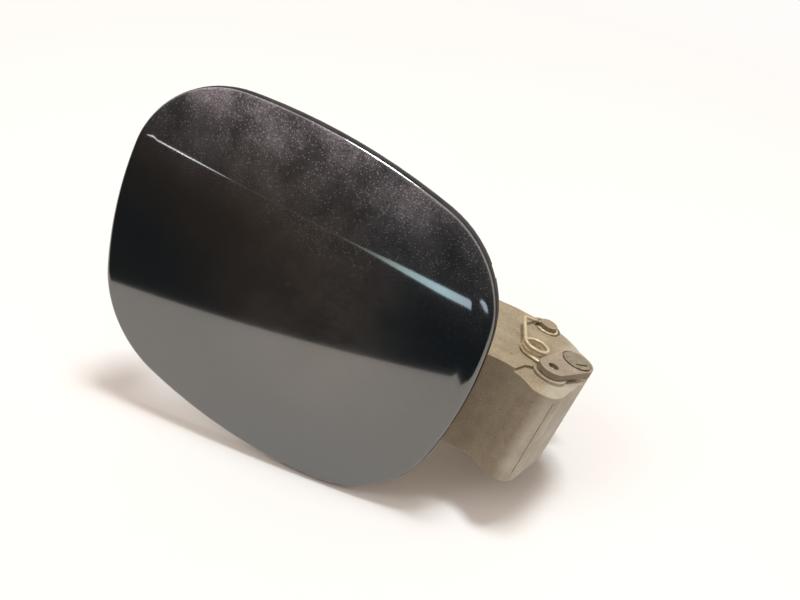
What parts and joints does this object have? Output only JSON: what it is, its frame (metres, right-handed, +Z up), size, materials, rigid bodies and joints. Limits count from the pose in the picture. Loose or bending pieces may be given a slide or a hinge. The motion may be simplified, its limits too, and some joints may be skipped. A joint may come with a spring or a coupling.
{
  "type": "car fuel door",
  "caption": "Crowned painted fuel door on a hollow gooseneck hinge arm that turns on a pin in a fixed bracket, with an over-centre torsion spring, soft stops and a latch striker",
  "frame": {"origin": "middle of the bracket's two fixing holes, on the back face that meets the car's filler pocket", "axes": "Z runs up along the hinge axis, Y runs into the car, X runs from the door's free end to its hinge end"},
  "size_m": [0.2131, 0.0785, 0.1497],
  "materials": {
    "door_paint": "gloss dark paint",
    "inner_paint": "thin dark paint",
    "mastic": "soft sealant",
    "zinc_steel": "zinc plated",
    "black_rubber": "matte rubber",
    "black_plastic": "matte plastic",
    "rivet_aluminium": "plain aluminium",
    "arm_cast": "dusty die cast",
    "pin_steel": "dusty plated steel",
    "clip_steel": "dark spring steel",
    "spring_steel": "dusty spring steel",
    "bracket_paint": "thin dark paint"
  },
  "bodies": {
    "bracket": {"hinge_bracket": "bracket_paint", "pivot_pin": "pin_steel", "pin_clip": "clip_steel", "spring_plate": "arm_cast"},
    "door": {"outer_skin": "door_paint", "inner_panel": "inner_paint", "mastic_pads": "mastic", "weld_nuts": "zinc_steel", "arm_screws": "zinc_steel", "bump_stops": "black_rubber", "latch_striker": "black_plastic", "striker_rivets": "rivet_aluminium", "hinge_arm": "arm_cast", "torsion_spring": "spring_steel"}
  },
  "joints": [
    {"name": "door_hinge", "type": "hinge", "parent": "bracket", "child": "door", "pos_m": [0.015, -0.0325, 0.009], "axis": [0, 0, 1], "range_deg": [0, 90], "deforming": ["torsion_spring"]}
  ]
}
